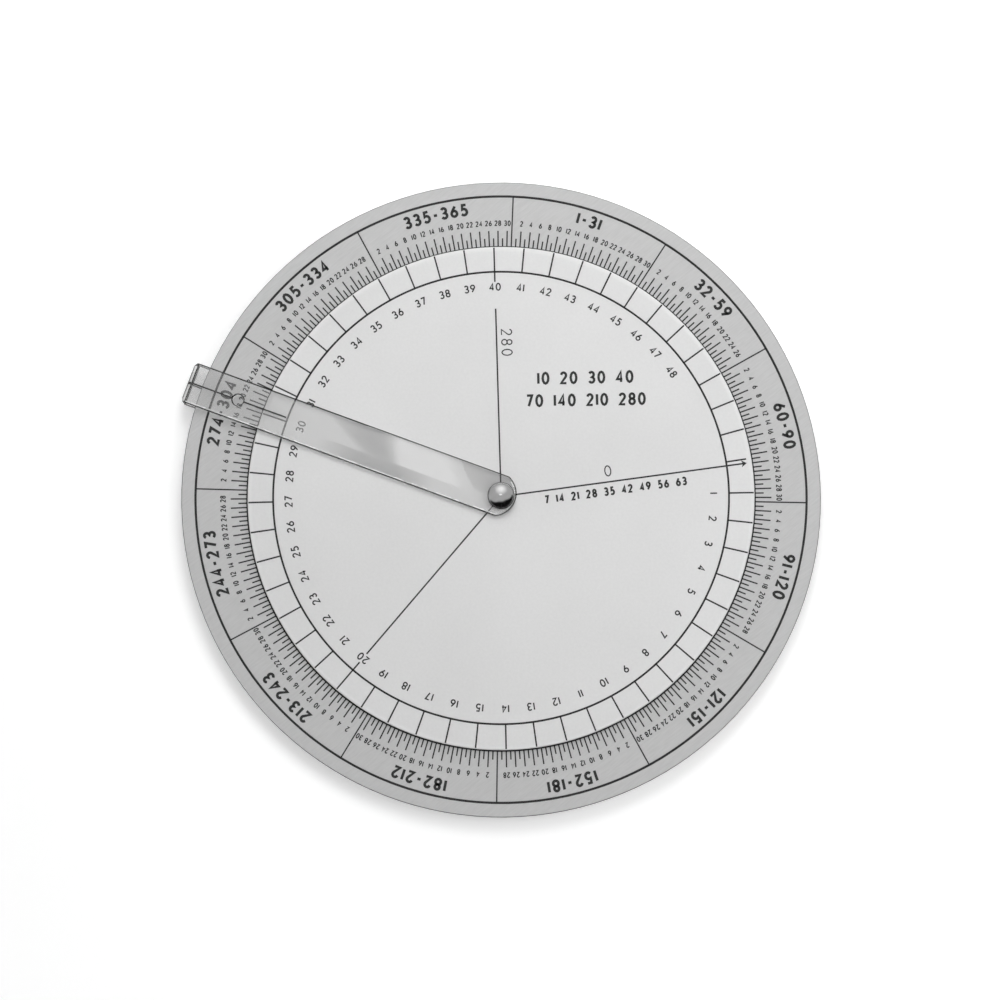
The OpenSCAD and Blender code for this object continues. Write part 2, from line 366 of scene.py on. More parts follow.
def scuffed_plastic():
    """The same plastic whitened and dulled as a painted highlight, on the front bevel and inside
    the holes.
    """
    material, tree = new_material("scuffed_plastic")
    highlight_mottle = object_noise(tree, 900, stretch=(5.0, 1.0, 1.0), turn=CURSOR_ANGLE)
    finish(tree, {"Base Color": ramp(tree, highlight_mottle, grey(0.9), grey(1.0)),
                  "Roughness": spread(tree, highlight_mottle, 0.2, 0.35),
                  "IOR": PLASTIC_IOR, "Transmission Weight": 0.5})
    return material


def dome_chrome():
    """Polished plating with the faint swirl of a polishing wheel, and painted shade as a dark ring
    round its foot.
    """
    material, tree = new_material("dome_chrome")
    swirl = object_noise(tree, 700)
    face = ramp(tree, swirl, grey(0.78), grey(0.84))
    # The dark ring at the foot is painted shade
    finish(tree, {"Base Color": edged(tree, face, 0.05, DOME_PAINTED_SHADE_BAND), "Metallic": 1.0,
                  "Roughness": spread(tree, swirl, 0.14, 0.2)})
    return material


def post_nickel():
    """Dull nickel plate, turned, on the back half of the rivet."""
    material, tree = new_material("post_nickel")
    turned = object_noise(tree, 1400)
    finish(tree, {"Base Color": ramp(tree, turned, grey(0.52), grey(0.62)), "Metallic": 1.0,
                  "Roughness": spread(tree, turned, 0.25, 0.4)})
    return material


def slip_plastic():
    """Natural matt sheet plastic of the slip washers."""
    material, tree = new_material("slip_plastic")
    mottle = object_noise(tree, 600)
    finish(tree, {"Base Color": ramp(tree, mottle, (0.70, 0.69, 0.65), (0.80, 0.79, 0.75)),
                  "Roughness": spread(tree, mottle, 0.5, 0.65)})
    return material


def spring_steel():
    """Tempered strip of the bowed washer."""
    material, tree = new_material("spring_steel")
    temper = object_noise(tree, 500)
    finish(tree, {"Base Color": ramp(tree, temper, (0.34, 0.33, 0.31), (0.46, 0.44, 0.41)),
                  "Metallic": 1.0, "Roughness": spread(tree, temper, 0.3, 0.45)})
    return material


CALENDAR_ALUMINIUM = calendar_aluminium()
DIAL_ENAMEL = dial_enamel()
SCALE_INK = scale_ink()
CLEAR_PLASTIC = clear_plastic()
PAINTED_HIGHLIGHT_PLASTIC = scuffed_plastic()
DOME_CHROME = dome_chrome()
POST_NICKEL = post_nickel()
SLIP_PLASTIC = slip_plastic()
SPRING_STEEL = spring_steel()


# Plain meshes

MITRE_LIMIT = 1.7


def link_mesh(name, mesh, material=None):
    obj = bpy.data.objects.new(name, mesh)
    bpy.context.scene.collection.objects.link(obj)
    if material is not None:
        mesh.materials.append(material)
    return obj


def mesh_from_bmesh(name, bm):
    """A mesh with outward normals from a finished bmesh."""
    bmesh.ops.recalc_face_normals(bm, faces=bm.faces)
    mesh = bpy.data.meshes.new(name)
    bm.to_mesh(mesh)
    bm.free()
    return mesh


def join_rows(bm, rows, closed=False):
    """Faces between rows of four corners, capped at the ends unless the rows make a ring."""
    following = rows[1:] + rows[:1] if closed else rows[1:]
    for a, b in zip(rows, following):
        for k in range(4):
            bm.faces.new((a[k], a[(k + 1) % 4], b[(k + 1) % 4], b[k]))
    if not closed:
        bm.faces.new(rows[0])
        bm.faces.new(reversed(rows[-1]))


def offset_points(points, half_width, closed):
    """Points to the left and right of a path, mitred at its corners."""
    count = len(points)
    left, right = [], []
    for i, point in enumerate(points):
        ways = []
        if closed or i > 0:
            ways.append((point - points[i - 1]).normalized())
        if closed or i < count - 1:
            ways.append((points[(i + 1) % count] - point).normalized())
        along = (ways[0] + ways[-1]).normalized()
        side = Vector((-along.y, along.x))
        bend = max(abs(along.dot(ways[0])), 1 / MITRE_LIMIT)
        left.append(point + side * (half_width / bend))
        right.append(point - side * (half_width / bend))
    return left, right


def add_ribbon(bm, points, half_width, half_height, closed):
    """A flat stroke along a path in the XY plane, as a closed solid about height 0."""
    rows = []
    for left, right in zip(*offset_points(points, half_width, closed)):
        corners = [(left, -half_height), (right, -half_height),
                   (right, half_height), (left, half_height)]
        rows.append([bm.verts.new((p.x, p.y, z)) for p, z in corners])
    join_rows(bm, rows, closed)


# Numerals, each drawn as strokes of one width in a box one high

ARC_STEP = 30


def arc(centre_x, centre_y, radius_x, radius_y, start, end):
    """Points along an ellipse from one angle to another, in degrees."""
    steps = max(2, round(abs(end - start) / ARC_STEP))
    turns = [math.radians(start + (end - start) * i / steps) for i in range(steps + 1)]
    return [Vector((centre_x + radius_x * math.cos(t), centre_y + radius_y * math.sin(t)))
            for t in turns]


def ring(centre_x, centre_y, radius_x, radius_y):
    return arc(centre_x, centre_y, radius_x, radius_y, 0, 360)[:-1]


def line(*places):
    return [Vector(place) for place in places]


TWO = arc(0.26, 0.74, 0.26, 0.26, 170, -38) + line((0.0, 0.0), (0.54, 0.0))
THREE = arc(0.25, 0.755, 0.235, 0.245, 155, -90) + arc(0.25, 0.26, 0.27, 0.26, 80, -155)
FOUR = line((0.42, 0), (0.42, 1), (0.0, 0.27), (0.56, 0.27))
FIVE = line((0.5, 1), (0.13, 1), (0.08, 0.57)) + arc(0.24, 0.31, 0.3, 0.31, 110, -145)
SIX_STEM = line((0.42, 1.0), (0.04, 0.43))
NINE_STEM = line((0.14, 0.0), (0.52, 0.57))

# Each numeral's width, its open strokes and its closed strokes
NUMERALS = {
    "0": (0.58, [], [ring(0.29, 0.5, 0.29, 0.5)]),
    "1": (0.0, [line((0, 0), (0, 1))], []),
    "2": (0.54, [TWO], []),
    "3": (0.52, [THREE], []),
    "4": (0.56, [FOUR], []),
    "5": (0.54, [FIVE], []),
    "6": (0.56, [SIX_STEM], [ring(0.28, 0.28, 0.28, 0.28)]),
    "7": (0.52, [line((0, 1), (0.52, 1), (0.17, 0))], []),
    "8": (0.54, [], [ring(0.27, 0.755, 0.235, 0.245), ring(0.27, 0.265, 0.27, 0.265)]),
    "9": (0.56, [NINE_STEM], [ring(0.28, 0.72, 0.28, 0.28)]),
    "-": (0.34, [line((0, 0.46), (0.34, 0.46))], []),
}
NUMERAL_ORDER = list(NUMERALS)
SPACE = 0.42


class NumeralStyle:
    """Size of a set of numerals: height, stroke, widening and the gap between neighbours."""

    def __init__(self, height, stroke, widen, gap):
        self.stroke = stroke * MM
        self.rise = height * MM - self.stroke
        self.widen = widen * self.rise
        self.gap = gap * MM

    def width(self, sign):
        wide = SPACE if sign == " " else NUMERALS[sign][0]
        return wide * self.widen + self.stroke

    def places(self, text):
        """Each sign of a text with the middle of its box, counted from the middle of the text."""
        total = sum(self.width(sign) for sign in text) + self.gap * (len(text) - 1)
        x = -total / 2
        found = []
        for sign in text:
            width = self.width(sign)
            if sign != " ":
                found.append((sign, x + width / 2))
            x += width + self.gap
        return found

    def mesh(self, sign):
        """A numeral as thin closed solids about the middle of its box."""
        wide, open_strokes, closed_strokes = NUMERALS[sign]
        bm = bmesh.new()
        for strokes, closed in ((open_strokes, False), (closed_strokes, True)):
            for stroke in strokes:
                points = [Vector(((p.x - wide / 2) * self.widen, (p.y - 0.5) * self.rise))
                          for p in stroke]
                add_ribbon(bm, points, self.stroke / 2, INK_BODY / 2, closed)
        return mesh_from_bmesh("numeral", bm)


WEEK_STYLE = NumeralStyle(height=1.95, stroke=0.33, widen=1.0, gap=0.28)
DAY_STYLE = NumeralStyle(height=1.38, stroke=0.26, widen=0.8, gap=0.12)
MONTH_STYLE = NumeralStyle(height=3.08, stroke=0.64, widen=0.95, gap=0.48)
TABLE_STYLE = NumeralStyle(height=3.1, stroke=0.58, widen=0.9, gap=0.45)
ZERO_STYLE = NumeralStyle(height=2.7, stroke=0.28, widen=1.0, gap=0.8)
COUNT_STYLE = NumeralStyle(height=2.1, stroke=0.45, widen=0.8, gap=0.3)


class Marks:
    """Points that carry the place, turn and other facts of repeated marks."""

    def __init__(self):
        self.rows = []

    def add(self, place, turn, **facts):
        self.rows.append((place, {"turn": math.radians(turn), **facts}))

    def arc_text(self, text, style, radius, angle, height):
        """Numerals along a circle, their tops outward."""
        for sign, x in style.places(text):
            turn = angle - math.degrees(x / radius)
            place = on_circle(radius, turn, height)
            self.add(place, turn - 90, sign=NUMERAL_ORDER.index(sign))

    def line_text(self, text, style, centre, turn, height):
        """Numerals along a straight line through a centre."""
        along = on_circle(1, turn)
        for sign, x in style.places(text):
            place = Vector((centre[0], centre[1], height)) + along * x
            self.add(place, turn, sign=NUMERAL_ORDER.index(sign))

    def line(self, angle, start, end, width, height):
        """An engraved line along a radius."""
        place = on_circle(start, angle, height)
        self.add(place, angle, reach=end - start, breadth=width - 2 * INK_SIDE_ROOM)

    def mesh(self, name):
        """A mesh of bare points with one attribute for each fact."""
        mesh = bpy.data.meshes.new(name)
        mesh.from_pydata([place for place, facts in self.rows], [], [])
        for key, first in self.rows[0][1].items():
            kind = "INT" if isinstance(first, int) else "FLOAT"
            attribute = mesh.attributes.new(key, kind, "POINT")
            attribute.data.foreach_set("value", [facts[key] for place, facts in self.rows])
        return mesh


# Geometry Nodes

def new_tree(name, **sockets):
    """A geometry tree with named inputs beside its Geometry. Returns it with what they give."""
    tree = bpy.data.node_groups.new(name, "GeometryNodeTree")
    tree.interface.new_socket("Geometry", in_out="INPUT", socket_type="NodeSocketGeometry")
    tree.interface.new_socket("Geometry", in_out="OUTPUT", socket_type="NodeSocketGeometry")
    for label, kind in sockets.items():
        tree.interface.new_socket(label, in_out="INPUT", socket_type="NodeSocket" + kind)
    return tree, tree.nodes.new("NodeGroupInput").outputs


def point_value(tree, name, kind="FLOAT"):
    """A fact of each point."""
    node = add_node(tree, "GeometryNodeInputNamedAttribute", {"Name": name}, data_type=kind)
    return node.outputs["Attribute"]


def turned_about_z(tree):
    """A rotation about Z by each point's turn."""
    node = add_node(tree, "ShaderNodeCombineXYZ", {"Z": point_value(tree, "turn")})
    return node.outputs["Vector"]


def end_tree(tree, geometry, ink):
    """Ends a tree: plain geometry in one material."""
    plain = add_node(tree, "GeometryNodeRealizeInstances", {"Geometry": geometry})
    inked = add_node(tree, "GeometryNodeSetMaterial",
                     {"Geometry": plain.outputs["Geometry"], "Material": ink})
    add_node(tree, "NodeGroupOutput", {"Geometry": inked.outputs["Geometry"]})
    return tree


def engraved_line_tree():
    """A bar on each point, as long and wide as the point says and as deep as the engraving."""
    tree, given = new_tree("engraved_lines", Depth="Float", Ink="Material")
    bar = add_node(tree, "GeometryNodeMeshCube")
    from_end = add_node(tree, "GeometryNodeTransform",
                        {"Geometry": bar.outputs["Mesh"], "Translation": (0.5, 0, -0.5)})
    size = add_node(tree, "ShaderNodeCombineXYZ", {
        "X": point_value(tree, "reach"), "Y": point_value(tree, "breadth"), "Z": given["Depth"]})
    placed = add_node(tree, "GeometryNodeInstanceOnPoints", {
        "Points": given["Geometry"], "Instance": from_end.outputs["Geometry"],
        "Rotation": turned_about_z(tree), "Scale": size.outputs["Vector"]})
    return end_tree(tree, placed.outputs["Instances"], given["Ink"])


def numeral_tree():
    """The numeral that each point names, turned as the point says."""
    tree, given = new_tree("placed_numerals", Numerals="Collection", Ink="Material")
    signs = add_node(tree, "GeometryNodeCollectionInfo", {
        "Collection": given["Numerals"], "Separate Children": True, "Reset Children": True})
    placed = add_node(tree, "GeometryNodeInstanceOnPoints", {
        "Points": given["Geometry"], "Instance": signs.outputs["Instances"],
        "Pick Instance": True, "Instance Index": point_value(tree, "sign", "INT"),
        "Rotation": turned_about_z(tree)})
    return end_tree(tree, placed.outputs["Instances"], given["Ink"])


def drawn_circle_tree():
    """An engraved circle: a square groove's filling swept round the pivot."""
    tree, given = new_tree("drawn_circle", Radius="Float", Width="Float", Depth="Float",
                           Height="Float", Ink="Material")
    path = add_node(tree, "GeometryNodeCurvePrimitiveCircle",
                    {"Resolution": CIRCLE_SIDES, "Radius": given["Radius"]})
    section = add_node(tree, "GeometryNodeCurvePrimitiveQuadrilateral",
                       {"Width": given["Width"], "Height": given["Depth"]})
    swept = add_node(tree, "GeometryNodeCurveToMesh", {
        "Curve": path.outputs["Curve"], "Profile Curve": section.outputs["Curve"]})
    rise = add_node(tree, "ShaderNodeCombineXYZ", {"Z": given["Height"]})
    lifted = add_node(tree, "GeometryNodeTransform", {
        "Geometry": swept.outputs["Mesh"], "Translation": rise.outputs["Vector"]})
    return end_tree(tree, lifted.outputs["Geometry"], given["Ink"])


ENGRAVED_LINES = engraved_line_tree()
PLACED_NUMERALS = numeral_tree()
DRAWN_CIRCLE = drawn_circle_tree()
MARK_FACTS = ("turn", "sign", "reach", "breadth")


def grown(name, mesh, tree, **values):
    """The plain mesh that a geometry tree makes from a mesh of points."""
    source = link_mesh(name, mesh)
    modifier = source.modifiers.new(name, "NODES")
    modifier.node_group = tree
    for item in tree.interface.items_tree:
        if item.in_out == "INPUT" and item.name in values:
            modifier[item.identifier] = values[item.name]
    evaluated = source.evaluated_get(bpy.context.evaluated_depsgraph_get())
    made = bpy.data.meshes.new_from_object(evaluated)
    source.modifiers.clear()
    bpy.data.objects.remove(source)
    for attribute in MARK_FACTS:
        if attribute in made.attributes:
            made.attributes.remove(made.attributes[attribute])
    return made


def joined(name, meshes):
    """One mesh object of several meshes in the same place, with outward normals."""
    bm = bmesh.new()
    for mesh in meshes:
        bm.from_mesh(mesh)
    return link_mesh(name, mesh_from_bmesh(name, bm), SCALE_INK)


def engraved_lines(name, marks):
    return grown(name, marks.mesh(name), ENGRAVED_LINES, Depth=INK_DEPTH, Ink=SCALE_INK)


def engraved_circle(name, radius, width, top):
    return grown(name, bpy.data.meshes.new(name), DRAWN_CIRCLE, Radius=radius,
                 Width=width - 2 * INK_SIDE_ROOM, Depth=INK_DEPTH,
                 Height=top - INK_SINK - INK_DEPTH / 2, Ink=SCALE_INK)


def numerals(name, marks, style):
    """Every numeral of one style, as plain geometry."""
    signs = bpy.data.collections.new(name + "_signs")
    objects = []
    for order, sign in enumerate(NUMERAL_ORDER):
        obj = bpy.data.objects.new(f"sign_{order:02d}", style.mesh(sign))
        signs.objects.link(obj)
        objects.append(obj)
    made = grown(name, marks.mesh(name), PLACED_NUMERALS, Numerals=signs, Ink=SCALE_INK)
    for obj in objects:
        bpy.data.objects.remove(obj)
    bpy.data.collections.remove(signs)
    return made


# The scales

def year_scale_lines():
    """A tick for each day, longer on even days, and a line across the scale at each month's end."""
    marks = Marks()
    height = CALENDAR_TOP - INK_SINK
    for month, last_day in enumerate(DAYS_IN_MONTH):
        for day in range(1, last_day + 1):
            reach = SHORT_TICK_R if day % 2 else LONG_TICK_R
            if day == last_day:
                reach = YEAR_CIRCLE_R
            marks.line(day_angle(days_before(month) + day), WEEK_R, reach, TICK_W, height)
    outer = engraved_circle("year_circle", YEAR_CIRCLE_R, YEAR_CIRCLE_W, CALENDAR_TOP)
    # A dark inked circle centred on the week disc's edge, half of it under the disc, darkening the
    # line where the disc meets the calendar
    foot = engraved_circle("foot_circle", WEEK_R, FOOT_CIRCLE_W, CALENDAR_TOP)
    return joined("year_scale_ink", [engraved_lines("year_lines", marks), outer, foot])


def arrow_head():
    """The filled head at the end of the zero line."""
    bm = bmesh.new()
    back = ARROW_R - ARROW_L
    corners = [(ARROW_R, 0), (back, ARROW_W / 2), (back + ARROW_NOTCH, 0), (back, -ARROW_W / 2)]
    low = WEEK_TOP - ENGRAVE_DEPTH + INK_SINK
    face = bm.faces.new([bm.verts.new((x, y, low)) for x, y in corners])
    extruded = bmesh.ops.extrude_face_region(bm, geom=[face])["geom"]
    raised = [part for part in extruded if isinstance(part, bmesh.types.BMVert)]
    bmesh.ops.translate(bm, vec=Vector((0, 0, INK_DEPTH)), verts=raised)
    bm.transform(Matrix.Rotation(math.radians(ZERO_ANGLE), 4, "Z"))
    return mesh_from_bmesh("arrow_head", bm)


def week_scale_lines():
    """A line for each week, the arrow at zero and the long lines to zero, the middle and term."""
    marks = Marks()
    height = WEEK_TOP - INK_SINK
    for week in range(1, LAST_WEEK):
        stub = STUB_L if week in (MIDDLE_WEEK, TERM_WEEK) else 0
        marks.line(week_angle(week), WEEK_CIRCLE_R - stub, WEEK_ROLL_R, WEEK_LINE_W, height)
        marks.line(week_angle(week), WEEK_ROLL_R, WEEK_R - WEEK_CHAMFER, WEEK_LINE_W,
                   WEEK_TOP - WEEK_ROLL_DROP + INK_SINK)
    marks.line(week_angle(LAST_WEEK), WEEK_CIRCLE_R, ARROW_R, WEEK_LINE_W, height)
    long_lines = {0: ARROW_R - ARROW_L / 2, MIDDLE_WEEK: MIDDLE_LINE_R, TERM_WEEK: TERM_LINE_R}
    for week, end in long_lines.items():
        marks.line(week_angle(week), PIVOT_CLEAR_R, end, WEEK_LINE_W, height)
    circle = engraved_circle("week_circle", WEEK_CIRCLE_R, WEEK_CIRCLE_W, WEEK_TOP)
    return joined("week_scale_ink", [engraved_lines("week_lines", marks), circle, arrow_head()])


def calendar_numbers():
    """Even days of each month, and the days of the year that each month runs from and to."""
    days, months = Marks(), Marks()
    for month, last_day in enumerate(DAYS_IN_MONTH):
        first = days_before(month)
        for day in range(2, last_day, 2):
            angle = day_angle(first + day)
            days.arc_text(str(day), DAY_STYLE, DAY_NUMBER_R, angle, CALENDAR_TOP)
        span = f"{first + 1}-{first + last_day}"
        middle = day_angle(first + last_day / 2)
        months.arc_text(span, MONTH_STYLE, MONTH_NUMBER_R, middle, CALENDAR_TOP)
    return joined("calendar_numbers", [numerals("day_numbers", days, DAY_STYLE),
                                       numerals("month_numbers", months, MONTH_STYLE)])


def beside_line(angle, reach, rise):
    """A point some way out along a radius and some way to its left."""
    return on_circle(reach, angle) + on_circle(rise, angle + 90)


def dial_numbers():
    """Week numbers, a small table of weeks and days, and the counts beside the long lines."""
    weeks, table, zero, counts = Marks(), Marks(), Marks(), Marks()
    for week in range(1, LAST_NUMBERED_WEEK + 1):
        weeks.arc_text(str(week), WEEK_STYLE, WEEK_NUMBER_R, week_angle(week), WEEK_TOP)
    down = on_circle(TABLE_STEP, TABLE_TURN - 90)
    quarters = range(QUARTER_WEEKS, TERM_WEEK + 1, QUARTER_WEEKS)
    for row, unit in enumerate((1, DAYS_IN_WEEK)):
        text = " ".join(str(week * unit) for week in quarters)
        centre = Vector((*TABLE_CENTRE, 0)) + down * row
        table.line_text(text, TABLE_STYLE, centre, TABLE_TURN, WEEK_TOP)
    zero_line, term_line = week_angle(0), week_angle(TERM_WEEK)
    above = beside_line(zero_line, ZERO_LABEL_R, ZERO_LABEL_RISE)
    zero.line_text("0", ZERO_STYLE, above, zero_line, WEEK_TOP)
    beside = beside_line(term_line, TERM_LABEL_R, TERM_LABEL_RISE)
    zero.line_text(str(TERM_WEEK * DAYS_IN_WEEK), ZERO_STYLE, beside, term_line - 180, WEEK_TOP)
    below = beside_line(zero_line, COUNT_LABEL_R, COUNT_LABEL_RISE)
    days = " ".join(str(DAYS_IN_WEEK * week) for week in range(1, LAST_COUNTED_WEEK + 1))
    counts.line_text(days, COUNT_STYLE, below, zero_line, WEEK_TOP)
    return joined("dial_numbers", [numerals("week_numbers", weeks, WEEK_STYLE),
                                   numerals("table_numbers", table, TABLE_STYLE),
                                   numerals("line_labels", zero, ZERO_STYLE),
                                   numerals("day_counts", counts, COUNT_STYLE)])


# The cursor: a flat strip, cut, drilled and bevelled, then folded round the rim

HEEL_X = HEEL_R - HEEL_REACH
HEEL_STEPS = 34
HOLE_SIDES = 40
BEND_L = math.pi / 2 * FOLD_BEND_R
WALL_H = LEAF_GAP - 2 * FOLD_BEND_R
STRIP_L = 2 * (FOLD_X + BEND_L) + WALL_H
BEND_STEPS = 10
THICKNESS_CUTS = (0.2, 0.4, 0.7)
SMOOTH_EDGE_TURN = 0.02
EDGE_BAND = 1 * MM
FOLD_LINE_START = 0.55
BACK_LINE_X = 35 * MM
FACE, WALL, LOW_CHAMFER, MID_CHAMFER, HIGH_CHAMFER, BEVEL = range(6)
EDGE_ZONES = (WALL, LOW_CHAMFER, MID_CHAMFER, HIGH_CHAMFER, BEVEL)


def strip_outline(inset):
    """Outline of the flat strip, a distance inside its edge, from one round heel to the other."""
    radius = HEEL_R - inset
    shoulder = math.degrees(math.asin((CURSOR_W / 2 - inset) / radius))
    turns = [180 + shoulder * (2 * i / HEEL_STEPS - 1) for i in range(HEEL_STEPS + 1)]
    near = [on_circle(radius, turn) + Vector((HEEL_X, 0, 0)) for turn in turns]
    back = Vector((BACK_LINE_X, inset - CURSOR_W / 2, 0))
    return near + [back] + [Vector((STRIP_L - p.x, -p.y, 0)) for p in near]


def hole_outline(x, radius):
    """Outline of a round hole in the flat strip."""
    turns = [360 * i / HOLE_SIDES for i in range(HOLE_SIDES)]
    return [on_circle(radius, turn) + Vector((x, 0, 0)) for turn in turns]


def folded(point):
    """Where a point of the flat strip goes when it is folded. Its inner face is at height 0."""
    along, across, through = point
    from_middle = abs(along - STRIP_L / 2)
    past_wall = from_middle - WALL_H / 2
    radius = FOLD_BEND_R + through
    if past_wall <= 0:
        x, height = FOLD_X + radius, from_middle
    elif past_wall <= BEND_L:
        turn = past_wall / FOLD_BEND_R
        x, height = FOLD_X + radius * math.cos(turn), WALL_H / 2 + radius * math.sin(turn)
    else:
        x, height = FOLD_X + BEND_L - past_wall, LEAF_GAP / 2 + through
    side = 1 if along < STRIP_L / 2 else -1
    place = Vector((x, across, FOLD_Z + side * height))
    into_corner = place.x - (TIP_X - FOLD_CORNER_R)
    if into_corner > 0:
        half = CURSOR_W / 2
        rounded = FOLD_CORNER_R - math.sqrt(max(FOLD_CORNER_R ** 2 - into_corner ** 2, 0))
        place.y *= (half - rounded) / half
    return place


def from_pivot(point):
    """How far along the flat strip a point is from the pivot hole of its own leaf."""
    return min(point.x, STRIP_L - point.x)


def is_beside(point):
    """Whether a point of the flat strip is near its outline, and not by a hole."""
    past_heel = from_pivot(point) - HEEL_X
    round_heel = past_heel < 0 and math.hypot(past_heel, point.y) > HEEL_R - EDGE_BAND
    return round_heel or abs(point.y) > CURSOR_W / 2 - EDGE_BAND


def is_worn(point):
    """Whether a point of the flat strip is along its front edge or round its upper heel."""
    in_front = point.y > 0 or point.x < HEEL_X - HEEL_R / 2
    return is_beside(point) and point.x < FOLD_X and in_front


def is_scuffed(zone, point):
    """Whether a face is whitened as a painted highlight: the bevels along the front edge and the
    inside of the holes.
    """
    if is_beside(point):
        return zone == BEVEL and is_worn(point)
    return zone in (WALL, LOW_CHAMFER)


def fold_stations():
    """Places along the strip where it is cut across to follow the two bends."""
    near = [FOLD_X + BEND_L * i / BEND_STEPS for i in range(BEND_STEPS + 1)]
    return near + [STRIP_L - x for x in reversed(near)]


def cut_by_planes(bm, places, normal):
    for place in places:
        bmesh.ops.bisect_plane(bm, geom=bm.verts[:] + bm.edges[:] + bm.faces[:],
                               plane_co=place * Vector(normal), plane_no=normal)


def is_bent(point):
    """Whether a point of the flat strip is within one of its two bends."""
    return FOLD_X < from_pivot(point) < FOLD_X + BEND_L


def edge_clarity(zone, point):
    """How clear a face is, with painted shade as dark lines along the chamfers, set back in front,
    and at the fold.
    """
    if zone == FACE and is_bent(point):
        inside = point.z < CURSOR_T / 2
        turned = (from_pivot(point) - FOLD_X) / BEND_L
        return PAINTED_SHADE_EDGE if inside or turned > FOLD_LINE_START else CLEAR_BODY
    painted_shade_zones = (LOW_CHAMFER, MID_CHAMFER)
    if is_worn(point) and point.x > HEEL_X:
        painted_shade_zones = (MID_CHAMFER, HIGH_CHAMFER)
    elif is_worn(point):
        painted_shade_zones = (MID_CHAMFER,)
    elif not is_beside(point):
        painted_shade_zones = (MID_CHAMFER, HIGH_CHAMFER)
    elif BACK_LINE_X < point.x < FOLD_X:
        painted_shade_zones = (LOW_CHAMFER, MID_CHAMFER, HIGH_CHAMFER)
    return PAINTED_SHADE_EDGE if zone in painted_shade_zones else CLEAR_BODY


def strip_edges(bm, zones, outline):
    """Wall, chamfer and inner bevel along one outline. Returns the loops that bound both faces."""
    chamfer_low = CURSOR_T - CURSOR_CHAMFER
    insets = (0, LOW_CHAMFER_W, MID_CHAMFER_W, CURSOR_CHAMFER)
    chamfer = [(inset, chamfer_low + inset) for inset in insets]
    levels = [(0, 0), *chamfer, (CURSOR_CHAMFER + CURSOR_BEVEL_W, CURSOR_T)]
    loops = [[bm.verts.new((p.x, p.y, height)) for p in outline(inset)] for inset, height in levels]
    for zone, low, high in zip(EDGE_ZONES, loops, loops[1:]):
        for i in range(len(low)):
            face = bm.faces.new((low[i - 1], low[i], high[i], high[i - 1]))
            face[zones] = zone
    return loops[0], loops[-1]


def folded_cursor():
    """The clear strip with its two leaves and holes, a painted highlight along its front bevel and
    painted shade along its chamfers and fold.
    """
    bm = bmesh.new()
    zones = bm.faces.layers.int.new("zone")
    clarity_and_painted_shade = bm.faces.layers.float.new(CLARITY_AND_PAINTED_SHADE)
    outlines = [strip_outline]
    for x, radius in ((0, PIVOT_HOLE_R), (STRIP_L, PIVOT_HOLE_R), (SIGHT_R, SIGHT_HOLE_R)):
        outlines.append(lambda inset, x=x, radius=radius: hole_outline(x, radius + inset))
    bounds = [strip_edges(bm, zones, outline) for outline in outlines]
    for loops in zip(*bounds):
        edges = [bm.edges.get((a, b)) for loop in loops for a, b in zip(loop, loop[1:] + loop[:1])]
        bmesh.ops.triangle_fill(bm, edges=edges, use_beauty=True, use_dissolve=False)
    bmesh.ops.recalc_face_normals(bm, faces=bm.faces)
    cut_by_planes(bm, fold_stations(), (1, 0, 0))
    cut_by_planes(bm, [CURSOR_T * share for share in THICKNESS_CUTS], (0, 0, 1))
    for face in bm.faces:
        middle = face.calc_center_median()
        face.smooth = face[zones] != FACE or is_bent(middle)
        # Each face's tint, with painted shade along the chamfers and the fold
        face[clarity_and_painted_shade] = edge_clarity(face[zones], middle)
        # The whitened faces carry the painted highlight
        face.material_index = int(is_scuffed(face[zones], middle))
    for edge in bm.edges:
        edge.smooth = edge.calc_face_angle() < SMOOTH_EDGE_TURN
    for vert in bm.verts:
        vert.co = folded(vert.co)
    bm.faces.layers.int.remove(zones)
    bm.transform(Matrix.Rotation(math.radians(CURSOR_ANGLE), 4, "Z"))
    cursor = link_mesh("clear_cursor", mesh_from_bmesh("clear_cursor", bm), CLEAR_PLASTIC)
    cursor.data.materials.append(PAINTED_HIGHLIGHT_PLASTIC)
    cursor.visible_shadow = False
    return cursor


def hairline_ink():
    """The filled hairline on the outer face, round the fold and open at the sight hole."""
    low = CURSOR_T - ENGRAVE_DEPTH
    high = CURSOR_T + HAIRLINE_PROUD
    gap = SIGHT_HOLE_R + CURSOR_CHAMFER
    half = HAIRLINE_W / 2 - 2 * INK_SIDE_ROOM
    corners = [(-half, low), (half, low), (half, high), (-half, high)]
    runs = [[HAIRLINE_START_R, SIGHT_R - gap],
            [SIGHT_R + gap, *fold_stations(), STRIP_L - HAIRLINE_START_R]]
    bm = bmesh.new()
    for run in runs:
        rows = [[bm.verts.new(folded(Vector((x, y, z)))) for y, z in corners] for x in run]
        join_rows(bm, rows)
    bm.transform(Matrix.Rotation(math.radians(CURSOR_ANGLE), 4, "Z"))
    return link_mesh("hairline_ink", mesh_from_bmesh("hairline_ink", bm), SCALE_INK)


# The rivet

def turned_solid(name, profile, material):
    """A solid turned about the pivot axis from (radius, height) points that start and end on it."""
    bm = bmesh.new()
    rings = []
    for radius, height in profile:
        turns = [360 * i / DOME_SIDES for i in range(DOME_SIDES if radius else 1)]
        rings.append([bm.verts.new(on_circle(radius, turn, height)) for turn in turns])
    for low, high in zip(rings, rings[1:]):
        for i in range(DOME_SIDES):
            picks = ((low, i), (low, i + 1), (high, i + 1), (high, i))
            corners = [loop[k % len(loop)] for loop, k in picks]
            bm.faces.new(list(dict.fromkeys(corners)))
    mesh = mesh_from_bmesh(name, bm)
    mesh.shade_smooth()
    mesh.set_sharp_from_angle(angle=math.radians(DOME_SHARP_TURN))
    return link_mesh(name, mesh, material)


